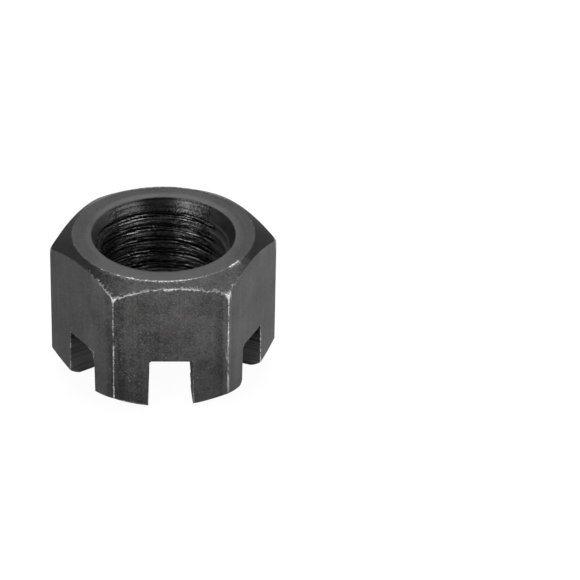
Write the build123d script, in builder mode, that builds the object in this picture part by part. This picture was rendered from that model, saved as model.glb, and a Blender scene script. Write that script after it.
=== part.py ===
from build123d import *

import os
from math import cos, radians, sin, tan

# A slotted hexagon nut, in millimetres and degrees. It stands on its castle end with its axis upright:
# Z = 0 is the plane of the castle tips, and the bearing face is on top.

# Hexagon bar, with its corner edges just broken.
across_flats = 17.0
nut_height = 12.7
corner_edge_radius = 0.15

# Bearing end: a flat ring, and a chamfer that turns the corners down and ends in a rounding there.
bearing_ring_inset = 0.6
bearing_chamfer_angle = 31.5
bearing_ring_edge_radius = 0.15
bearing_corner_radius = 0.4

# Castle end: a flat ring, and a steeper chamfer.
castle_ring_inset = 0.62
castle_chamfer_angle = 37.5
castle_ring_edge_radius = 0.3

# Bore, drilled for a 12 x 1.25 mm thread: its wall is where the thread's crests are.
thread_diameter = 12.0
thread_pitch = 1.25
thread_start_angle = 45.0
castle_mouth_chamfer = 0.5

# Bearing end's mouth: the ring dips to it in a dished lip, and a steep relief leads down to the thread.
bearing_mouth_clearance = 0.2
lip_width = 0.8
lip_drop = 0.1
lip_edge_radius = 0.08
relief_depth = 1.25
relief_side_angle = 21.0

# Slots: three passes of one cutter, each right across the nut, that open out towards the tips.
# The first pass went in deepest, with its floor tilted.
slot_floor_width = 3.65
slot_side_draft = 1.5
first_slot_depth = 4.97
first_floor_tilt = 3.0
second_slot_depth = 4.53
third_slot_depth = 4.63

# Corners of the slot floors: one corner of the cutter stayed keen, the other wore rounder and rounder.
keen_corner_radius = 0.12
first_worn_radius = 0.2
second_worn_radius = 0.35
third_worn_radius = 1.3

# One castle tip has had its edge knocked round, on the left of the second pass.
knocked_edge_radius = 0.85

# Each pass: the direction of the flat that it is seen from, its depth, and, as seen from there, how
# many degrees its floor leans up to the left and the radii of the floor's left and right corners.
first_pass = (-90, first_slot_depth, first_floor_tilt, first_worn_radius, keen_corner_radius)
second_pass = (-30, second_slot_depth, 0, second_worn_radius, keen_corner_radius)
third_pass = (-150, third_slot_depth, 0, keen_corner_radius, third_worn_radius)

# Sizes that follow.
corner_radius = across_flats / 2 / cos(radians(30))
bearing_ring_radius = across_flats / 2 - bearing_ring_inset
castle_ring_radius = across_flats / 2 - castle_ring_inset
bearing_chamfer_drop = (corner_radius - bearing_ring_radius) * tan(radians(bearing_chamfer_angle))
castle_chamfer_rise = (corner_radius - castle_ring_radius) * tan(radians(castle_chamfer_angle))
bore_radius = (thread_diameter - thread_pitch) / 2
castle_mouth_rise = castle_mouth_chamfer * tan(radians(thread_start_angle))
bearing_mouth_radius = thread_diameter / 2 + bearing_mouth_clearance
relief_end_radius = bearing_mouth_radius - (relief_depth - lip_drop) * tan(radians(relief_side_angle))
thread_start_depth = relief_depth + (relief_end_radius - bore_radius) * tan(radians(thread_start_angle))


def plane_across(heading):
    """Upright plane through the axis, seen from the flat in that direction: X to the right, Y up."""
    outward = (cos(radians(heading)), sin(radians(heading)), 0)
    rightward = (-sin(radians(heading)), cos(radians(heading)), 0)
    return Plane(origin=(0, 0, 0), x_dir=rightward, z_dir=outward)


def slot_half_width(height, depth):
    """Half the width of a slot at a height over the tips."""
    return slot_floor_width / 2 + (depth - height) * tan(radians(slot_side_draft))


with BuildPart() as castle_nut:
    # The bar, with a flat towards -Y.
    with BuildSketch():
        RegularPolygon(across_flats / 2, side_count=6, major_radius=False)
    extrude(amount=nut_height)
    fillet(castle_nut.edges().filter_by(Axis.Z), radius=corner_edge_radius)

    # The slots.
    for heading, depth, floor_tilt, left_radius, right_radius in (first_pass, second_pass, third_pass):
        left_depth = depth + slot_floor_width / 2 * tan(radians(floor_tilt))
        right_depth = depth - slot_floor_width / 2 * tan(radians(floor_tilt))
        with BuildSketch(plane_across(heading)) as slot:
            with BuildLine():
                Polyline(
                    (-slot_half_width(0, depth), 0),
                    (-slot_half_width(left_depth, depth), left_depth),
                    (slot_half_width(right_depth, depth), right_depth),
                    (slot_half_width(0, depth), 0),
                    close=True,
                )
            make_face()
            left_side = slot.vertices().sort_by(Axis.X)[:2]
            fillet(left_side.sort_by(Axis.Y)[-1], radius=left_radius)
            right_side = slot.vertices().sort_by(Axis.X)[-2:]
            fillet(right_side.sort_by(Axis.Y)[-1], radius=right_radius)
        extrude(amount=across_flats, both=True, mode=Mode.SUBTRACT)

    # The knocked edge: what is lost is the corner outside an arc, where the slot's side meets the tip.
    knocked_heading, knocked_depth, _, _, _ = second_pass
    edge_reach = knocked_edge_radius / tan(radians((90 + slot_side_draft) / 2))
    tip_edge = (-slot_half_width(0, knocked_depth), 0)
    on_the_tip = (tip_edge[0] - edge_reach, 0)
    on_the_side = (
        tip_edge[0] + edge_reach * sin(radians(slot_side_draft)),
        edge_reach * cos(radians(slot_side_draft)),
    )
    with BuildSketch(plane_across(knocked_heading)):
        with BuildLine():
            Polyline(on_the_side, tip_edge, on_the_tip)
            RadiusArc(on_the_tip, on_the_side, knocked_edge_radius)
        make_face()
    extrude(amount=across_flats, mode=Mode.SUBTRACT)

    # The turned form: both chamfered ends and the bore, as one half section about the axis.
    with BuildSketch(Plane.XZ) as half_section:
        with BuildLine():
            Polyline(
                (bearing_mouth_radius, nut_height - lip_drop),
                (relief_end_radius, nut_height - relief_depth),
                (bore_radius, nut_height - thread_start_depth),
                (bore_radius, castle_mouth_rise),
                (bore_radius + castle_mouth_chamfer, 0),
                (castle_ring_radius, 0),
                (corner_radius, castle_chamfer_rise),
                (corner_radius, nut_height - bearing_chamfer_drop),
                (bearing_ring_radius, nut_height),
                (bearing_mouth_radius + lip_width, nut_height),
            )
            TangentArc(
                (bearing_mouth_radius + lip_width, nut_height),
                (bearing_mouth_radius, nut_height - lip_drop),
                tangent=(-1, 0),
            )
        make_face()
        mouth_edge = half_section.vertices().sort_by_distance((bearing_mouth_radius, nut_height - lip_drop))[0]
        fillet(mouth_edge, radius=lip_edge_radius)
        fillet(half_section.vertices().group_by(Axis.Y)[0].sort_by(Axis.X)[-1], radius=castle_ring_edge_radius)
        fillet(half_section.vertices().group_by(Axis.Y)[-1].sort_by(Axis.X)[-1], radius=bearing_ring_edge_radius)
        fillet(half_section.vertices().group_by(Axis.X)[-1].sort_by(Axis.Y)[-1], radius=bearing_corner_radius)
    revolve(axis=Axis.Z, mode=Mode.INTERSECT)

castle_nut.part.label = "castle_nut"
os.makedirs("parts", exist_ok=True)
export_step(castle_nut.part, "parts/castle_nut.step")
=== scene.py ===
from math import atan2, cos, hypot, pi, radians, sin, sqrt, tan

import bmesh
import bpy
import numpy as np
from mathutils import Matrix, Vector


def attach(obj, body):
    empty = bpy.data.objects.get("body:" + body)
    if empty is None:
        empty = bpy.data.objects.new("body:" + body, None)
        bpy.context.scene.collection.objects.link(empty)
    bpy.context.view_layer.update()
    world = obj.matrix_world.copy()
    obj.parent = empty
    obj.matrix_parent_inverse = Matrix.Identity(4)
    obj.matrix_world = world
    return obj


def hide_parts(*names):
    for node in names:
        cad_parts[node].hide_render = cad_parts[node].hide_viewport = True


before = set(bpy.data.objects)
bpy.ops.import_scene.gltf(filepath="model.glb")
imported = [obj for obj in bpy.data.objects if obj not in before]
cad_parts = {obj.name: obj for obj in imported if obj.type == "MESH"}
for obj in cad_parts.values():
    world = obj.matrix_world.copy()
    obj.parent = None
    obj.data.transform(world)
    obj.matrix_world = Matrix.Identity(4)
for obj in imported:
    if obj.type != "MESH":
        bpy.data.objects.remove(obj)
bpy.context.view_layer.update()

# The nut's sizes, in millimetres and degrees, as its solid has them. It is shaped in millimetres and
# brought to metres at the end.
MILLIMETRE = 0.001
ACROSS_FLATS = 17.0
HEIGHT = 12.7
CORNER_EDGE_RADIUS = 0.15
BEARING_RING_RADIUS = ACROSS_FLATS / 2 - 0.6
BEARING_CHAMFER_ANGLE = radians(31.5)
BEARING_RING_EDGE_RADIUS = 0.15
BEARING_CORNER_RADIUS = 0.4
CASTLE_RING_RADIUS = ACROSS_FLATS / 2 - 0.62
CASTLE_CHAMFER_ANGLE = radians(37.5)
THREAD_DIAMETER = 12.0
PITCH = 1.25
BORE_RADIUS = (THREAD_DIAMETER - PITCH) / 2
CASTLE_MOUTH_CHAMFER = 0.5
MOUTH_RADIUS = THREAD_DIAMETER / 2 + 0.2
LIP_WIDTH = 0.8
LIP_DROP = 0.1
LIP_EDGE_RADIUS = 0.08
RELIEF_DEPTH = 1.25
RELIEF_END_RADIUS = MOUTH_RADIUS - (RELIEF_DEPTH - LIP_DROP) * tan(radians(21.0))
THREAD_START_DEPTH = RELIEF_DEPTH + RELIEF_END_RADIUS - BORE_RADIUS
SLOT_FLOOR_WIDTH = 3.65
SLOT_DRAFT = tan(radians(1.5))

# Each pass of the slot cutter: the flat that it is seen from, its depth, the slope of its floor up to
# the left, and its floor's left and right corner radii.
SLOT_PASSES = (
    (-90, 4.97, tan(radians(3.0)), 0.2, 0.12),
    (-30, 4.53, 0.0, 0.35, 0.12),
    (-150, 4.63, 0.0, 0.12, 1.3),
)

# One castle tip, on the left of this pass, has its edge knocked round.
KNOCKED_PASS = SLOT_PASSES[1]
KNOCKED_RADIUS = 0.85

# Fine forms that the solid leaves out: edges worn round, the castle chamfer's soft run into its ring,
# the cutter's broken exit from the flats, and the knocked edge's way up the castle chamfer to the flat.
WORN_ARC_RADII = (0.05, 0.12)
WORN_BORE_EDGE_RADIUS = 0.05
WORN_RELIEF_FOOT_RADIUS = 0.06
WORN_RING_EDGE_RADIUS = 2.0
EDGE_BREAK = 0.07

# How round the knock left its edge, by distance out from the axis: as in the solid up to where the ring
# ends at the slot's side, and then less, up the castle chamfer and out past the flat.
KNOCKED_RADII = ((0.0, KNOCKED_RADIUS), (7.636, KNOCKED_RADIUS), (8.5, 0.6), (10.0, 0.6))

# The thread's groove, which the solid leaves out too: the height of its lowest turn's middle, and one
# side of its section, as distance along the axis from that middle and radius. It starts inside the bore,
# and the thread's crest is a little rounded there.
LOWEST_GROOVE = -1.55
GROOVE_SIDE = (
    (0.6, 5.35), (0.52, 5.371), (0.49, 5.379), (0.46, 5.391), (0.43, 5.41), (0.405, 5.436), (0.085, 5.975),
)

# Sizes that follow: the slopes of the chamfers, the corners of the bar, the arc of the dished lip, and
# the circle that rounds the bearing chamfer off at the corners.
BEARING_SLOPE = tan(BEARING_CHAMFER_ANGLE)
CASTLE_SLOPE = tan(CASTLE_CHAMFER_ANGLE)
CORNER_RADIUS = ACROSS_FLATS / 2 / cos(radians(30))
CORNER_TIP_RADIUS = (ACROSS_FLATS / 2 - CORNER_EDGE_RADIUS) / cos(radians(30)) + CORNER_EDGE_RADIUS
LIP_ARC_RADIUS = (LIP_WIDTH ** 2 + LIP_DROP ** 2) / (2 * LIP_DROP)
ROUNDING_CENTRE_RADIUS = CORNER_RADIUS - BEARING_CORNER_RADIUS
ROUNDING_CENTRE_HEIGHT = (
    HEIGHT
    - (ROUNDING_CENTRE_RADIUS - BEARING_RING_RADIUS) * BEARING_SLOPE
    - BEARING_CORNER_RADIUS * hypot(1, BEARING_SLOPE)
)
ROUNDING_START_RADIUS = ROUNDING_CENTRE_RADIUS + BEARING_CORNER_RADIUS * sin(BEARING_CHAMFER_ANGLE)

# Finishes, by their place in the nut's material slots.
RING, FLATS, CHAMFERS, RELIEF, THREAD, SLOTS = range(6)


class Value:
    """A number that changes over a surface: a socket, with the operators that finishes are written in."""

    def __init__(self, finish, socket):
        self.finish, self.socket = finish, socket

    def math(self, operation, *values):
        return self.finish.node("ShaderNodeMath", {"operation": operation}, dict(enumerate(values)))

    def __add__(self, other):
        return self.math("ADD", self, other)

    def __radd__(self, other):
        return self.math("ADD", other, self)

    def __sub__(self, other):
        return self.math("SUBTRACT", self, other)

    def __rsub__(self, other):
        return self.math("SUBTRACT", other, self)

    def __mul__(self, other):
        return self.math("MULTIPLY", self, other)

    def __rmul__(self, other):
        return self.math("MULTIPLY", other, self)

    def __truediv__(self, other):
        return self.math("DIVIDE", self, other)

    def __abs__(self):
        return self.math("ABSOLUTE", self)

    def root(self):
        return self.math("SQRT", self)

    def least(self, other):
        return self.math("MINIMUM", self, other)

    def most(self, other):
        return self.math("MAXIMUM", self, other)

    def rise(self, low, high):
        """0 up to low, 1 from high on, and a smooth climb between. It falls where high is under low."""
        if high < low:
            return 1 - self.rise(high, low)
        return self.finish.node(
            "ShaderNodeMapRange", {"interpolation_type": "SMOOTHSTEP"},
            {0: self, 1: low, 2: high, 3: 0.0, 4: 1.0},
        )


class Finish:
    """The nodes of one material, or of the room."""

    def __init__(self, holder, output="ShaderNodeOutputMaterial"):
        holder.use_nodes = True
        self.holder, self.tree, self.output = holder, holder.node_tree, output
        self.tree.nodes.clear()

    def node(self, kind, settings=None, sockets=None, output=0):
        """Add a node: its settings first, then the values or links of its sockets."""
        made = self.tree.nodes.new(kind)
        for setting, value in (settings or {}).items():
            setattr(made, setting, value)
        for socket, value in (sockets or {}).items():
            if isinstance(value, Value):
                self.tree.links.new(value.socket, made.inputs[socket])
            else:
                made.inputs[socket].default_value = value
        return Value(self, made.outputs[output]) if made.outputs else None

    def show(self, shader):
        """Put a shader on the surface."""
        self.node(self.output, None, {"Surface": shader})

    def place(self):
        """Where a point of the nut is, as three values in millimetres."""
        place = self.node("ShaderNodeTexCoord", output="Object")
        scaled = self.node(
            "ShaderNodeVectorMath", {"operation": "SCALE"}, {0: place, "Scale": 1 / MILLIMETRE},
        )
        return [self.node("ShaderNodeSeparateXYZ", None, {"Vector": scaled}, axis) for axis in "XYZ"]

    def noise(self, x, y, z, scale=1.0, detail=3.0, roughness=0.5):
        """Soft noise about 0 over three values."""
        vector = self.node("ShaderNodeCombineXYZ", None, {0: x, 1: y, 2: z})
        return self.node(
            "ShaderNodeTexNoise", {"noise_dimensions": "3D"},
            {"Vector": vector, "Scale": scale, "Detail": detail, "Roughness": roughness},
        ) - 0.5

    def colour(self, mask, under, over):
        """One colour where mask is 0 and another where it is 1."""
        return self.node("ShaderNodeMix", {"data_type": "RGBA"}, {0: mask, 6: under, 7: over}, output=2)

    def between(self, mask, under, over):
        """One number where mask is 0 and another where it is 1."""
        return self.node("ShaderNodeMix", {"data_type": "FLOAT"}, {0: mask, 2: under, 3: over})


# Where a point lies on the nut, as shader values.

def across_flats(x, y):
    """For each pair of flats: how far out a point lies towards them, how far along, and its slot pass."""
    pairs = []
    for slot_pass in SLOT_PASSES:
        heading = radians(slot_pass[0])
        out = abs(x * cos(heading) + y * sin(heading))
        along = y * cos(heading) - x * sin(heading)
        pairs.append((out, along, slot_pass))
    return pairs


def gap_to_upright_edges(pairs):
    """Distance along a flat to the nearest upright edge, and distance into the nut from the flats."""
    first, second, third = (out for out, _, _ in pairs)
    largest = first.most(second).most(third)
    smallest = first.least(second).least(third)
    middle = first + second + third - largest - smallest
    return (ACROSS_FLATS / 2 - middle) * (1 / sin(radians(60))), ACROSS_FLATS / 2 - largest


def gap_to_bearing_arcs(radius, z, under_flat, wander):
    """Distance to a line that wanders off the arcs where the bearing chamfer meets the flats."""
    down = HEIGHT + BEARING_RING_RADIUS * BEARING_SLOPE - z - radius * BEARING_SLOPE
    under_chamfer = down * cos(BEARING_CHAMFER_ANGLE)
    return abs(under_chamfer - under_flat + wander).most(under_chamfer.least(under_flat) * 4.0)


def gap_to_castle_arcs(radius, z, under_flat):
    """Distance to the arcs where the castle chamfer meets the flats."""
    up = z + CASTLE_RING_RADIUS * CASTLE_SLOPE - radius * CASTLE_SLOPE
    return (up * cos(CASTLE_CHAMFER_ANGLE)).most(under_flat)


def gap_to_ring_edge(radius, z):
    """Distance to the round edge of the bearing ring."""
    return abs(radius - BEARING_RING_RADIUS).most(HEIGHT - z)


def gap_to_slot_edges(pairs, z):
    """Distance to the edges that the slots cut in the flats."""
    nearest = None
    for out, along, (_, depth, _, _, _) in pairs:
        beside = abs(along) + (z - depth) * SLOT_DRAFT - SLOT_FLOOR_WIDTH / 2
        above = z - depth
        outside = (beside.most(0.0) * beside.most(0.0) + above.most(0.0) * above.most(0.0)).root()
        gap = outside.most(abs(beside.most(above)) * 0.8).most(ACROSS_FLATS / 2 - out)
        nearest = gap if nearest is None else nearest.least(gap)
    return nearest


def grey(level, warmth=0.0):
    """A grey, or a browner one."""
    return (level * (1 + warmth), level * (1 - warmth * 0.3), level * (1 - warmth * 0.7), 1.0)


# Wear: which way the most handled side faces, which way the nick in the bearing ring's edge faces, and
# the bare steel that shows where the oxide is gone.
HANDLED_TOWARDS = (-0.14, -0.99)
NICK_TOWARDS = (0.713, -0.701)
BARE_STEEL = grey(0.72)
BARE_ROUGHNESS = 0.4


def handling(x, y, radius):
    """How much a side is handled: most at the front and back, a little off the middle."""
    facing = x * HANDLED_TOWARDS[0] + y * HANDLED_TOWARDS[1]
    return facing * facing / (radius * radius)


def front_right_corner(x, y):
    """1 at the upright edge to the front right, and 0 away from it."""
    return (x - y).rise(10.0, 12.5)


def bare_edges(finish, x, y, z, radius, pairs, handled):
    """Where the oxide is rubbed through to bare steel: broken lines along edges, worn tips and a nick.

    It also gives the distance to the nearest upright edge."""
    upright, under_flat = gap_to_upright_edges(pairs)
    breaks = finish.noise(x, y, z, scale=1.1, detail=3.0, roughness=0.6)
    nicks = finish.noise(x, y, z + 7.0, scale=2.4, detail=2.0, roughness=0.6)
    grit = finish.noise(x, y, z, scale=6.0, detail=2.0, roughness=0.7)
    patches = finish.noise(x, y, z + 12.0, scale=0.3, detail=1.0)
    scratches = finish.noise(x, y, z * 0.15, scale=5.0, detail=2.0)
    bearing_arcs = gap_to_bearing_arcs(radius, z, under_flat, nicks * 0.8 + grit * 0.25)
    castle_arcs = gap_to_castle_arcs(radius, z, under_flat)
    ring_edge = gap_to_ring_edge(radius, z) + breaks * 0.12
    slot_edges = gap_to_slot_edges(pairs, z)
    worn = handled * 1.2 + patches * 1.4 + breaks * 1.5 + nicks * 1.6 + grit * 2.8 - 0.8

    upright_line = worn * 0.8 + scratches * 1.2 + 0.65 - upright * 11.0
    under_tips = bearing_arcs.rise(1.6, 0.0) * 0.5
    scratched_corner = scratches * 3.5 + under_tips + front_right_corner(x, y) * 0.2 - 0.2 - upright * 2.0
    at_the_sides = abs(x / radius).rise(0.57, 0.74)
    arc_line = worn + 0.6 - at_the_sides * 0.4 - bearing_arcs * 7.5
    tip = worn * 0.4 + 1.65 + x.rise(0.0, 4.0) * 0.25 - (upright + bearing_arcs) * 3.2
    on_the_left = x.rise(-1.0, -5.0)
    ring_line = worn * 0.6 + grit * 1.5 + handled * 0.5 - on_the_left * 0.22 - 0.3 - ring_edge * 3.4
    nicked = ((x * NICK_TOWARDS[0] + y * NICK_TOWARDS[1]) / radius).rise(0.991, 0.999)
    nick = nicked * 1.2 + grit * 4.5 + nicks * 1.0 - 0.5 - ring_edge * 5.0
    castle_line = worn * 0.8 - 0.1 - castle_arcs * 8.0
    slot_line = worn * 0.7 + 1.05 + z.rise(3.0, 1.0) * 0.2 - handled * 0.95 - slot_edges * 8.0

    bare = upright_line
    for place in (scratched_corner, arc_line, tip, ring_line, nick, castle_line, slot_line):
        bare = bare.most(place)
    return bare.rise(-0.15, 0.95), upright


def black_oxide(
    name, tone, roughness, marks, spread=1.0,
    rubbed_tone=0.16, rubbed_start=0.5, rubbed_roughness=0.0, metallic=0.6,
):
    """Black oxide on steel: uneven, with brown traces, rubbed places and bare edges.

    marks gives what the tool left, with painted light and shade: shade about 0, height in millimetres, and
    how rubbed it is."""
    finish = Finish(bpy.data.materials.new(name))
    x, y, z = finish.place()
    radius = (x * x + y * y).root()
    pairs = across_flats(x, y)
    handled = handling(x, y, radius)
    bare, upright = bare_edges(finish, x, y, z, radius, pairs, handled)
    shade, height, rub = marks(finish, x, y, z, radius, upright, handled)
    clouds = finish.noise(x, y, z, scale=0.3, detail=2.0)
    mottle = finish.noise(x, y, z, scale=1.5, detail=4.0, roughness=0.65)
    grain = finish.noise(x, y, z, scale=6.5, detail=2.0, roughness=0.7)
    brown = finish.noise(x + 31.0, y, z, scale=0.45, detail=3.0).rise(0.08, 0.22)
    contrast = (0.95 + handled * 0.75) * (0.75 + z.rise(1.0, 8.0) * 0.25)
    patchy = (clouds * 0.55 + mottle * 0.4 + grain * 1.0) * contrast
    oxide = finish.colour(0.5 + patchy * spread + shade, grey(tone * 0.35), grey(tone * 1.75))
    oxide = finish.colour(brown * 0.35, oxide, grey(tone * 0.95, 0.16))
    rubbed = (rub + (grain * 1.4 + mottle * 0.8) * spread - rubbed_start).rise(0.0, 0.8)
    thin_patches = 0.5 + grain * 1.5 + mottle * 1.2
    thinned = finish.colour(thin_patches, grey(rubbed_tone * 0.6), grey(rubbed_tone * 1.4))
    oxide = finish.colour(rubbed, oxide, thinned)
    satin = roughness + rubbed * rubbed_roughness + mottle * 0.14 + grain * 0.12
    relief = height + grain * 0.006 + mottle * 0.009
    shader = finish.node(
        "ShaderNodeBsdfPrincipled", None,
        {
            "Base Color": finish.colour(bare, oxide, BARE_STEEL),
            "Metallic": finish.between(bare, metallic, 1.0),
            "Roughness": finish.between(bare, satin, BARE_ROUGHNESS),
            "Normal": finish.node("ShaderNodeBump", None, {"Distance": MILLIMETRE, "Height": relief}),
            "Specular Tint": grey(0.4),
        },
    )
    finish.show(shader)
    return finish.holder


# The marks that each tool left, with painted light and shade: shade, height and how rubbed.

def drawn_marks(finish, x, y, z, radius, upright, handled):
    """Streaks along the bar, dark bands beside its edges, a painted highlight at the front right edge,
    specks, and painted shade low down at the front and back.
    """
    streaks = finish.noise(x, y, z * 0.06, scale=2.4, detail=4.0, roughness=0.65)
    bands = finish.noise(x, y, z * 0.08, scale=2.6, detail=3.0) * upright.rise(1.6, 0.3)
    # A painted highlight beside the upright edge at the front right, and dark bands beside the upright
    # edges.
    beside = upright.rise(0.6, 0.35) * front_right_corner(x, y) * 0.5 - upright.rise(1.5, 0.7) * 0.3
    # Painted shade: the front and back flats are darker low down.
    low = z.rise(9.0, 2.0) * handled * 0.2
    specks = finish.noise(x, y, z + 9.0, scale=6.0, detail=1.0).rise(0.17, 0.24)
    shade = streaks * 0.45 + (bands * 1.3 + beside) * (handled * handled) - low
    return shade, streaks * 0.004, specks * handled * 1.5 - 0.2


def beside_ring_edge(radius, handled):
    """The handled band on both sides of the bearing ring's edge."""
    return abs(radius - BEARING_RING_RADIUS).rise(0.35, 0.0) * handled


def faced_marks(finish, x, y, z, radius, upright, handled):
    """Fine rings that the facing tool left, with painted light at the front and back, and a partly rubbed
    lip with a painted highlight, strongest at the back.
    """
    rings = finish.noise(x / radius, y / radius, radius * 7.0, scale=1.0, detail=3.0, roughness=0.6)
    lip = radius.rise(MOUTH_RADIUS + LIP_WIDTH, MOUTH_RADIUS + 0.1) * z.rise(HEIGHT / 2, HEIGHT / 2 + 1)
    front = (y / radius).rise(-0.3, -1.0)
    back = (y / radius).rise(0.3, 1.0)
    # Painted light: the ring is painted lighter at the front and back, and the lip carries a painted
    # highlight that is strongest at the back.
    shade = rings * 0.5 + lip * (0.4 + back * 0.6) + front * 0.45 + back * 0.12
    return shade, rings * 0.008, lip * 0.4 + beside_ring_edge(radius, handled) * 0.85


def chamfered_marks(finish, x, y, z, radius, upright, handled):
    """Scuffs over fine rings, and painted light: lighter towards the front and back."""
    rings = finish.noise(x / radius, y / radius, z * 7.0, scale=1.0, detail=3.0, roughness=0.6)
    scuffs = finish.noise(x, y, z + 17.0, scale=5.0, detail=3.0, roughness=0.75)
    # Painted light: the chamfers are painted lighter, as a rubbed tone, towards the front and back.
    off_middle = (x * 0.15 - y) / radius
    painted_light_front_and_back = off_middle * off_middle
    rub = painted_light_front_and_back * 1.35 + scuffs * 0.4 + beside_ring_edge(radius, handled) * 0.4
    return rings * 0.3 + scuffs * 0.4, rings * 0.004 + scuffs * 0.008, rub


def bored_marks(finish, x, y, z, radius, upright, handled):
    """Ridges that the tool fed down the relief, with chatter, glitter that is partly painted glints,
    painted light on the right, painted dark lines at the lip's edge and the relief's foot, and even, dull
    sides.
    """
    round_x, round_y = x / radius, y / radius
    ridges = finish.noise(round_x * 1.5, round_y * 1.5, z * 5.0, scale=1.0, detail=2.0, roughness=0.7)
    glitter = finish.noise(round_x * 40.0, round_y * 40.0, z * 6.0, scale=1.0, detail=1.0)
    chatter = finish.noise(round_x * 16.0, round_y * 16.0, z * 2.5, scale=1.0, detail=2.0)
    chatter = chatter * abs(round_x).rise(0.3, 0.6)
    # Painted shade: a dark line, with painted glitter, at the foot of the relief, and a dark line at the
    # lip's edge.
    end = abs(z - HEIGHT + RELIEF_DEPTH - 0.05).rise(0.12, 0.02)
    painted_dark_rim = z.rise(HEIGHT - 0.36, HEIGHT - 0.22)
    # Painted light: the relief is painted lighter, and with more glitter, on the right.
    right = round_x.rise(0.0, 0.4)
    dull = abs(round_x).rise(0.62, 0.85)
    clear = 1 - dull * 0.8
    # The glitter is partly bump and partly painted glints in the colour.
    lines = ridges * 1.6 + glitter * (0.6 + right * 1.4 + end * 8.0)
    shade = lines * clear - end * 0.4 - painted_dark_rim * 0.5 + right * 0.14 - 0.15
    height = ridges * 0.028 + glitter * (0.008 + right * 0.01) + chatter * 0.06
    return shade, height * clear, dull * 1.4


def threaded_marks(finish, x, y, z, radius, upright, handled):
    """Torn lines that follow the thread, broken up and with painted glints, painted shade at the front and
    back, and even and dull on the right.
    """
    winding = ((z - LOWEST_GROOVE) / PITCH - x.math("ARCTAN2", y, x) / (2 * pi)) * (2 * pi)
    depth, side = winding.math("COSINE", winding), winding.math("SINE", winding)
    round_x, round_y = x / radius, y / radius
    torn = finish.noise(
        depth * 0.8 + round_x * 1.5, side * 0.8 + round_y * 1.5, z * 0.3,
        scale=1.0, detail=2.0, roughness=0.6,
    )
    breaks = finish.noise(round_x * 36.0 + depth, round_y * 36.0 + side, z * 6.0, scale=1.0, detail=1.0)
    turn = winding * 8.0 + torn * 16.0
    facing = turn.math("COSINE", turn) * (depth.rise(-0.9, -0.7) * 2.0 - 1.0)
    # Painted glints: the colour is lighter where the torn lines tilt towards the lamps.
    painted_glints = (facing + breaks * 5.0).rise(0.0, 1.0)
    # Painted shade darkens the thread at the front and back.
    shade = painted_glints * 1.1 + breaks * 1.0 - abs(round_x).rise(0.3, 0.1) * 0.15 - 0.5
    dull = round_x.rise(0.7, 0.9)
    height = turn.math("SINE", turn) * (depth * 0.012 + 0.024) + torn * 0.04 + breaks * 0.03
    return shade * (1 - dull * 0.7), height * (1 - dull * 0.8), dull * 1.4


def milled_marks(finish, x, y, z, radius, upright, handled):
    """Lines that the slot cutter left along the walls, with painted shade near the slot floor and on the
    right, and painted light towards the tips.
    """
    lines = finish.noise(z * 4.0, x * 0.15, y * 0.15, scale=1.0, detail=3.0, roughness=0.65)
    right = (x / radius).rise(0.3, 0.6)
    # Painted light and shade: the walls are painted darker up under the slot floor and on the right, and
    # lighter towards the tips.
    lit = z.rise(3.9, 3.1) * 0.35 + z.rise(3.2, 0.8) * 0.35
    return lines * 2.6 + lit - right * 0.2 - 0.3, lines * 0.06, 0.0


# Shapes.

def rounded_section(corners, rounding_parts=7):
    """Points along a closed section, and the finish of each run between them.

    Corners are (radius, height, rounding, parts of the run that follows, its finish)."""
    arcs = []
    for i, (r, z, rounding, _, _) in enumerate(corners):
        here = np.array((r, z))
        if not rounding:
            arcs.append([here])
            continue
        back = np.array(corners[i - 1][:2]) - here
        on = np.array(corners[(i + 1) % len(corners)][:2]) - here
        back /= np.linalg.norm(back)
        on /= np.linalg.norm(on)
        half = np.arccos(np.clip(back @ on, -1, 1)) / 2
        reach = rounding / tan(half)
        centre = here + (back + on) / np.linalg.norm(back + on) * rounding / sin(half)
        start, end = here + back * reach - centre, here + on * reach - centre
        turn = pi - 2 * half
        arcs.append([
            centre + (start * sin(turn * (1 - part)) + end * sin(turn * part)) / sin(turn)
            for part in np.linspace(0, 1, rounding_parts + 1)
        ])
    points, finishes = [], []
    for i, arc in enumerate(arcs):
        _, _, _, parts, finish = corners[i]
        last, first = arc[-1], arcs[(i + 1) % len(arcs)][0]
        run = [last + (first - last) * k / parts for k in range(1, parts)]
        points.extend([*arc, *run])
        finishes.extend([finish] * (len(arc) + len(run)))
    return np.array(points), finishes


def cutter_outline(corners):
    """Points along a cutter's closed outline. Corners are (across, up, rounding)."""
    return rounded_section([(*corner, 1, None) for corner in corners], rounding_parts=9)[0]


def lip_height(r):
    """Height of the dished lip at a radius."""
    return HEIGHT - LIP_ARC_RADIUS + sqrt(LIP_ARC_RADIUS ** 2 - (MOUTH_RADIUS + LIP_WIDTH - r) ** 2)


def bearing_height(r):
    """Height of the bearing chamfer at a radius, rounded off towards the corners."""
    if r < ROUNDING_START_RADIUS:
        return HEIGHT - (r - BEARING_RING_RADIUS) * BEARING_SLOPE
    return ROUNDING_CENTRE_HEIGHT + sqrt(BEARING_CORNER_RADIUS ** 2 - (r - ROUNDING_CENTRE_RADIUS) ** 2)


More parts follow.
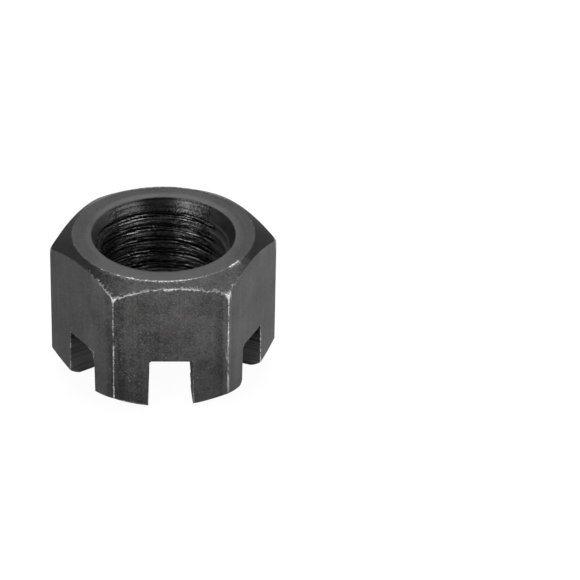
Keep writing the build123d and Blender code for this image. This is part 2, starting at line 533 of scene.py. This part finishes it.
def nut_section(wall, top_rounding, bottom_rounding):
    """Half section of the nut where its outside is at the radius wall, up the bore and down outside."""
    lip = [MOUTH_RADIUS + LIP_WIDTH * k / 6 for k in range(1, 6)]
    knee = min(ROUNDING_START_RADIUS, BEARING_RING_RADIUS + (wall - BEARING_RING_RADIUS) * 0.6)
    between = (knee + wall) / 2
    return rounded_section([
        (BORE_RADIUS, CASTLE_MOUTH_CHAMFER, 0, 1, THREAD),
        (BORE_RADIUS, HEIGHT - THREAD_START_DEPTH, WORN_BORE_EDGE_RADIUS, 2, THREAD),
        (RELIEF_END_RADIUS, HEIGHT - RELIEF_DEPTH, WORN_RELIEF_FOOT_RADIUS, 5, RELIEF),
        (MOUTH_RADIUS, HEIGHT - LIP_DROP, LIP_EDGE_RADIUS, 1, RING),
        *((r, lip_height(r), 0, 1, RING) for r in lip),
        (MOUTH_RADIUS + LIP_WIDTH, HEIGHT, 0, 3, RING),
        (BEARING_RING_RADIUS, HEIGHT, BEARING_RING_EDGE_RADIUS, 4, CHAMFERS),
        (knee, bearing_height(knee), 0, 1, CHAMFERS),
        (between, bearing_height(between), 0, 1, CHAMFERS),
        (wall, bearing_height(wall), top_rounding, 24, FLATS),
        (wall, (wall - CASTLE_RING_RADIUS) * CASTLE_SLOPE, bottom_rounding, 6, CHAMFERS),
        (CASTLE_RING_RADIUS, 0.0, WORN_RING_EDGE_RADIUS, 4, RING),
        (BORE_RADIUS + CASTLE_MOUTH_CHAMFER, 0.0, WORN_BORE_EDGE_RADIUS, 2, THREAD),
    ])


def bar_outline():
    """Polar angle and radius of points round the bar, with its corner edges rounded."""
    points = []
    side = (ACROSS_FLATS / 2 - CORNER_EDGE_RADIUS) * tan(radians(30))
    for corner in range(0, 360, 60):
        heading = radians(corner)
        out = CORNER_TIP_RADIUS - CORNER_EDGE_RADIUS
        for turn in np.radians(np.linspace(-30, 30, 7)):
            points.append((
                out * cos(heading) + CORNER_EDGE_RADIUS * cos(heading + turn),
                out * sin(heading) + CORNER_EDGE_RADIUS * sin(heading + turn),
            ))
        face = heading + radians(30)
        for along in np.linspace(-side, side, 29)[1:-1]:
            points.append((
                ACROSS_FLATS / 2 * cos(face) - along * sin(face),
                ACROSS_FLATS / 2 * sin(face) + along * cos(face),
            ))
    return [(atan2(py, px), hypot(px, py)) for px, py in points]


def mesh_object(name, vertices, faces, materials=(), face_materials=None):
    """A mesh from points and faces."""
    mesh = bpy.data.meshes.new(name)
    mesh.from_pydata([tuple(map(float, v)) for v in vertices], [], [tuple(map(int, f)) for f in faces])
    for material in materials:
        mesh.materials.append(material)
    if face_materials is not None:
        mesh.polygons.foreach_set("material_index", np.asarray(face_materials, np.int32))
    made = bpy.data.objects.new(name, mesh)
    bpy.context.scene.collection.objects.link(made)
    return made


def wandering(count, low, high, seed, waves_round=40):
    """Numbers round the nut that wander between low and high, with no ripple finer than the waves."""
    waves = np.fft.rfft(np.random.default_rng(seed).standard_normal(count))
    waves[waves_round:] = 0
    level = np.fft.irfft(waves, count)
    return low + (high - low) * (level - level.min()) / (level.max() - level.min())


def turned_bar(name, finishes):
    """The nut before slots and thread: the bar's outline with the turned section at each of its points."""
    outline = bar_outline()
    count = len(outline)
    top = wandering(count, *WORN_ARC_RADII, seed=5)
    bottom = wandering(count, *WORN_ARC_RADII, seed=6)
    vertices = []
    for (angle, wall), top_rounding, bottom_rounding in zip(outline, top, bottom):
        section, kinds = nut_section(wall, top_rounding, bottom_rounding)
        vertices.extend((r * cos(angle), r * sin(angle), z) for r, z in section)
    rows = len(kinds)
    faces = []
    for i in range(count):
        here, there = i * rows, (i + 1) % count * rows
        for j in range(rows):
            onward = (j + 1) % rows
            faces.append((here + j, here + onward, there + onward, there + j))
    return mesh_object(name, vertices, faces, finishes, kinds * count)


def thread_tap(thread):
    """The tap: a helical ridge with the form of the thread's groove, right-handed."""
    lower_side = [(-offset, r) for offset, r in GROOVE_SIDE]
    root = (0.0, THREAD_DIAMETER / 2)
    profile = [*lower_side, root, *GROOVE_SIDE[::-1]]
    columns, turns, step = 132, 12, len(profile)
    rows = [(LOWEST_GROOVE + PITCH * turn + offset, r) for turn in range(turns) for offset, r in profile]
    count = len(rows)
    vertices = []
    for i in range(columns):
        angle = 2 * pi * i / columns
        vertices.extend((r * cos(angle), r * sin(angle), z + PITCH * i / columns) for z, r in rows)

    # After the last column the first one follows again, one turn higher.
    faces = []
    for i in range(columns):
        shift = step if i == columns - 1 else 0
        here, there = i * count, (i + 1) % columns * count + shift
        faces += [(here + j, there + j, there + j + 1, here + j + 1) for j in range(count - 1 - shift)]

    # Both ends close in fans round a point on the axis.
    foot, head = len(vertices), len(vertices) + 1
    vertices += [(0, 0, LOWEST_GROOVE - 1), (0, 0, rows[-1][0] + 1)]
    low = [i * count for i in range(columns)] + list(range(step, 0, -1))
    high = [i * count + count - 1 for i in range(columns)]
    high += [high[-1] - k for k in range(1, step + 1)]
    faces += [(foot, low[(k + 1) % len(low)], low[k]) for k in range(len(low))]
    faces += [(head, high[k], high[(k + 1) % len(high)]) for k in range(len(high))]
    return mesh_object("tap", vertices, faces, (thread,))


def slot_profile(depth, floor_slope, left_radius, right_radius, grown):
    """Outline of a slot as (along the flat, height), grown outwards, with its edges at the tips broken."""
    def half(height):
        return SLOT_FLOOR_WIDTH / 2 + (depth - height) * SLOT_DRAFT + grown

    rise = SLOT_FLOOR_WIDTH / 2 * floor_slope
    left_top, right_top = depth + rise + grown, depth - rise + grown
    return cutter_outline([
        (-half(-1) - 1 - EDGE_BREAK, -1.0, 0),
        (-half(EDGE_BREAK), EDGE_BREAK, 0),
        (-half(left_top), left_top, left_radius + grown),
        (half(right_top), right_top, right_radius + grown),
        (half(EDGE_BREAK), EDGE_BREAK, 0),
        (half(-1) + 1 + EDGE_BREAK, -1.0, 0),
    ])


def swept(name, heading, sections, material):
    """A cutter through (distance out from the axis, outline) sections, towards the flat in a heading."""
    angle = radians(heading)
    out, along, up = np.array(((cos(angle), sin(angle), 0), (-sin(angle), cos(angle), 0), (0, 0, 1)))
    vertices = [out * distance + along * a + up * b for distance, outline in sections for a, b in outline]
    count = len(sections[0][1])
    last = (len(sections) - 1) * count
    faces = []
    for start in range(0, last, count):
        for k in range(count):
            here, onward = start + k, start + (k + 1) % count
            faces.append((here, onward, onward + count, here + count))
    faces += [tuple(reversed(range(count))), tuple(range(last, last + count))]
    return mesh_object(name, vertices, faces, (material,))


def slot_cutter(name, slot_pass, material):
    """One pass of the slot cutter, right across the nut, that widens where it leaves the flats."""
    heading, *shape = slot_pass
    beyond = 1.0
    inside, outside = ACROSS_FLATS / 2 - EDGE_BREAK, ACROSS_FLATS / 2 + beyond
    narrow, wide = slot_profile(*shape, 0.0), slot_profile(*shape, beyond + EDGE_BREAK)
    sections = [(-outside, wide), (-inside, narrow), (inside, narrow), (outside, wide)]
    return swept(name, heading, sections, material)


def knock(name, slot_pass, material):
    """What the knock took off the edge at a slot's left side, along the tip and up the castle chamfer."""
    heading, depth, _, _, _ = slot_pass
    edge = -SLOT_FLOOR_WIDTH / 2 - depth * SLOT_DRAFT
    reach = 2.0

    def chamfer_height(distance, along):
        return (hypot(distance, along) - CASTLE_RING_RADIUS) * CASTLE_SLOPE

    sections = []
    for distance, radius in KNOCKED_RADII:
        foot = max(0.0, chamfer_height(distance, edge))
        beside = chamfer_height(distance, edge - reach) if foot else 0.0
        outline = cutter_outline([
            (edge - reach, -1.0, 0),
            (edge - reach, beside, 0),
            (edge, foot, radius),
            (edge + reach * SLOT_DRAFT, foot + reach, 0),
            (edge + reach * SLOT_DRAFT + 0.6, foot + reach, 0),
            (edge + 1.2, -1.0, 0),
        ])
        sections.append((distance, outline))
    return swept(name, heading, sections, material)


def facing_out(made):
    """Turn a closed mesh's faces outwards."""
    shape = bmesh.new()
    shape.from_mesh(made.data)
    bmesh.ops.recalc_face_normals(shape, faces=shape.faces)
    if shape.calc_volume(signed=True) < 0:
        bmesh.ops.reverse_faces(shape, faces=shape.faces)
    shape.to_mesh(made.data)
    shape.free()


def apply_modifiers(piece):
    """Keep what the piece's modifiers make of it."""
    bpy.context.view_layer.update()
    evaluated = piece.evaluated_get(bpy.context.evaluated_depsgraph_get())
    result = bpy.data.meshes.new_from_object(evaluated)
    piece.modifiers.clear()
    piece.data = result


def cut(piece, cutters):
    """Take the cutters away from the piece."""
    for solid in (piece, *cutters):
        facing_out(solid)
    for cutter in cutters:
        boolean = piece.modifiers.new(cutter.name, "BOOLEAN")
        boolean.operation = "DIFFERENCE"
        boolean.solver = "MANIFOLD"
        boolean.material_mode = "TRANSFER"
        boolean.object = cutter
    apply_modifiers(piece)
    for cutter in cutters:
        bpy.data.objects.remove(cutter)


def merge_close_points(piece, distance):
    """Merge the points that the cuts left nearly in one place."""
    shape = bmesh.new()
    shape.from_mesh(piece.data)
    bmesh.ops.remove_doubles(shape, verts=shape.verts, dist=distance)
    shape.to_mesh(piece.data)
    shape.free()


def smooth_by_angle(piece, degrees):
    """Smooth shading that keeps edges, with flat faces kept flat."""
    piece.data.polygons.foreach_set("use_smooth", [True] * len(piece.data.polygons))
    piece.data.set_sharp_from_angle(angle=radians(degrees))
    weighted = piece.modifiers.new("even_normals", "WEIGHTED_NORMAL")
    weighted.keep_sharp = True
    weighted.weight = 100
    apply_modifiers(piece)


# The nut. Its finishes are in the order of its material slots.
finishes = [
    black_oxide("oxide_on_faced_ring", 0.052, 0.44, faced_marks, spread=0.85),
    black_oxide("oxide_on_drawn_flats", 0.087, 0.45, drawn_marks, rubbed_tone=0.3),
    black_oxide(
        "oxide_on_chamfers", 0.041, 0.42, chamfered_marks, spread=0.42,
        rubbed_tone=0.17, rubbed_start=0.38,
    ),
    black_oxide(
        "oxide_in_bored_relief", 0.064, 0.27, bored_marks, spread=0.6,
        rubbed_tone=0.06, rubbed_roughness=0.3, metallic=0.85,
    ),
    black_oxide(
        "oxide_in_cut_thread", 0.10, 0.24, threaded_marks, spread=0.7,
        rubbed_tone=0.1, rubbed_roughness=0.3, metallic=0.9,
    ),
    black_oxide("oxide_in_milled_slots", 0.085, 0.45, milled_marks, spread=0.7),
]
MERGE_DISTANCE = 0.0001
KEPT_EDGE_ANGLE = 28

nut = turned_bar("castle_nut_dressed", finishes)
cutters = [thread_tap(finishes[THREAD])]
for k, slot_pass in enumerate(SLOT_PASSES):
    cutters.append(slot_cutter(f"slot_cutter_{k}", slot_pass, finishes[SLOTS]))
cutters.append(knock("knock", KNOCKED_PASS, finishes[FLATS]))
cut(nut, cutters)
merge_close_points(nut, MERGE_DISTANCE)
nut.data.transform(Matrix.Scale(MILLIMETRE, 4))
smooth_by_angle(nut, KEPT_EDGE_ANGLE)
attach(nut, "root")
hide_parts("castle_nut")


# Studio.
ROOM_LEVEL = 0.22
LAMP_TARGET = Vector((0.0, 0.0, 0.006))


def white_floor():
    """A plain pale floor that looks white, takes the nut's shadow, and mirrors dark under the nut."""
    finish = Finish(bpy.data.materials.new("white_floor"))
    x, y, _ = finish.place()
    seen = finish.node("ShaderNodeLightPath", output="Is Camera Ray")
    seen = seen.most(finish.node("ShaderNodeLightPath", output="Is Transmission Ray"))
    mirrored = finish.node("ShaderNodeLightPath", output="Is Glossy Ray")
    in_front, beside = y + 14.0, x * 1.25 - 1.8
    shaded = (beside * beside + in_front * in_front).root().rise(14.0, 4.0) + x.rise(-4.0, -12.0) * 0.75
    outside = (x * x + y * y).root().rise(7.0, 9.5) * (1 - shaded)
    matt = finish.node("ShaderNodeBsdfDiffuse", None, {"Color": (0.8, 0.8, 0.8, 1)})
    faint = finish.node("ShaderNodeBsdfDiffuse", None, {"Color": (0.15, 0.15, 0.15, 1)})
    white = finish.node("ShaderNodeEmission", None, {"Color": (1, 1, 1, 1), "Strength": 0.93})
    shown = finish.node("ShaderNodeAddShader", None, {0: faint, 1: white})
    white_here = seen.most(mirrored * outside)
    finish.show(finish.node("ShaderNodeMixShader", None, {0: white_here, 1: matt, 2: shown}))
    size, drop = 4.0, 0.01 * MILLIMETRE
    corners = [(-size, -size, 0), (size, -size, 0), (size, size, 0), (-size, size, 0)]
    floor = mesh_object("floor", corners, [(0, 1, 2, 3)], (finish.holder,))
    floor.location.z = -drop


def softbox(name, bearing, elevation, distance, width, height, radiance):
    """A soft rectangular light, turned by the bearing from the camera's side towards the nut's right."""
    lamp = bpy.data.lights.new(name, "AREA")
    lamp.shape = "RECTANGLE"
    lamp.size, lamp.size_y = width, height
    lamp.energy = radiance * width * height * pi
    made = bpy.data.objects.new(name, lamp)
    bpy.context.scene.collection.objects.link(made)
    turn, up = radians(bearing), radians(elevation)
    towards = Vector((sin(turn) * cos(up), -cos(turn) * cos(up), sin(up)))
    made.location = LAMP_TARGET + towards * distance
    made.rotation_euler = towards.to_track_quat("Z", "Y").to_euler()


def studio_room(level):
    """A grey room, darker behind the camera, that looks white and mirrors white where the floor ends."""
    room = Finish(bpy.data.worlds.new("studio"), "ShaderNodeOutputWorld")
    towards = room.node("ShaderNodeTexCoord", output="Generated")
    y, z = (room.node("ShaderNodeSeparateXYZ", None, {"Vector": towards}, axis) for axis in "YZ")
    seen = room.node("ShaderNodeLightPath", output="Is Camera Ray")
    seen = seen.most(room.node("ShaderNodeLightPath", output="Is Transmission Ray"))
    mirrored = room.node("ShaderNodeLightPath", output="Is Glossy Ray") * z.rise(0.04, 0.0)
    lit, dark, white = (
        room.node("ShaderNodeBackground", None, {"Color": (1, 1, 1, 1), "Strength": strength})
        for strength in (level, level * 0.2, 1.0)
    )
    behind_camera = y.rise(0.0, -0.6) * (z.rise(0.15, 0.5) * 0.65 + 0.35)
    walls = room.node("ShaderNodeMixShader", None, {0: behind_camera, 1: lit, 2: dark})
    room.show(room.node("ShaderNodeMixShader", None, {0: seen.most(mirrored), 1: walls, 2: white}))
    bpy.context.scene.world = room.holder


white_floor()
studio_room(ROOM_LEVEL)
softbox("left_softbox", -40, 21, 0.35, 0.136, 0.26, 3.6)
softbox("far_left_softbox", -64, 21, 0.35, 0.16, 0.26, 1.5)
softbox("right_softbox", 53, 21, 0.35, 0.24, 0.26, 2.8)
softbox("side_softbox", 100, 5, 0.35, 0.22, 0.07, 6.2)
softbox("back_softbox", 180, 30, 0.40, 0.32, 0.26, 1.35)
softbox("high_back_softbox", 180, 58, 0.40, 0.26, 0.10, 5.0)


# Camera, from the fit of the nut's corners and circles in the photograph.
YAW, ELEVATION, ROLL = radians(6.795), radians(32.120), radians(1.332)
CENTRE_IN_CAMERA = np.array((-0.6547, 0.3433, 17.0081)) * ACROSS_FLATS * MILLIMETRE
FOCAL_PIXELS, PHOTO_PIXELS = 3282.0, 580
SENSOR_WIDTH = 36.0


def photo_camera():
    """The camera that took the photograph."""
    turned = np.array(((cos(YAW), -sin(YAW), 0), (sin(YAW), cos(YAW), 0), (0, 0, 1)))
    up, out = sin(ELEVATION), cos(ELEVATION)
    tilted = np.array(((1, 0, 0), (0, -up, -out), (0, out, -up)))
    rolled = np.array(((cos(ROLL), -sin(ROLL), 0), (sin(ROLL), cos(ROLL), 0), (0, 0, 1)))
    right, down, forward = rolled @ tilted @ turned
    place = -np.array((right, down, forward)).T @ CENTRE_IN_CAMERA
    camera = bpy.data.objects.new("camera", bpy.data.cameras.new("camera"))
    camera.data.sensor_width = SENSOR_WIDTH
    camera.data.lens = FOCAL_PIXELS / PHOTO_PIXELS * SENSOR_WIDTH
    camera.data.clip_start, camera.data.clip_end = 0.01, 20.0
    axes = Matrix([[float(right[k]), float(-down[k]), float(-forward[k])] for k in range(3)])
    camera.matrix_world = Matrix.Translation([float(v) for v in place]) @ axes.to_4x4()
    bpy.context.scene.collection.objects.link(camera)
    bpy.context.scene.camera = camera


photo_camera()
bpy.context.scene.view_settings.view_transform = "Standard"
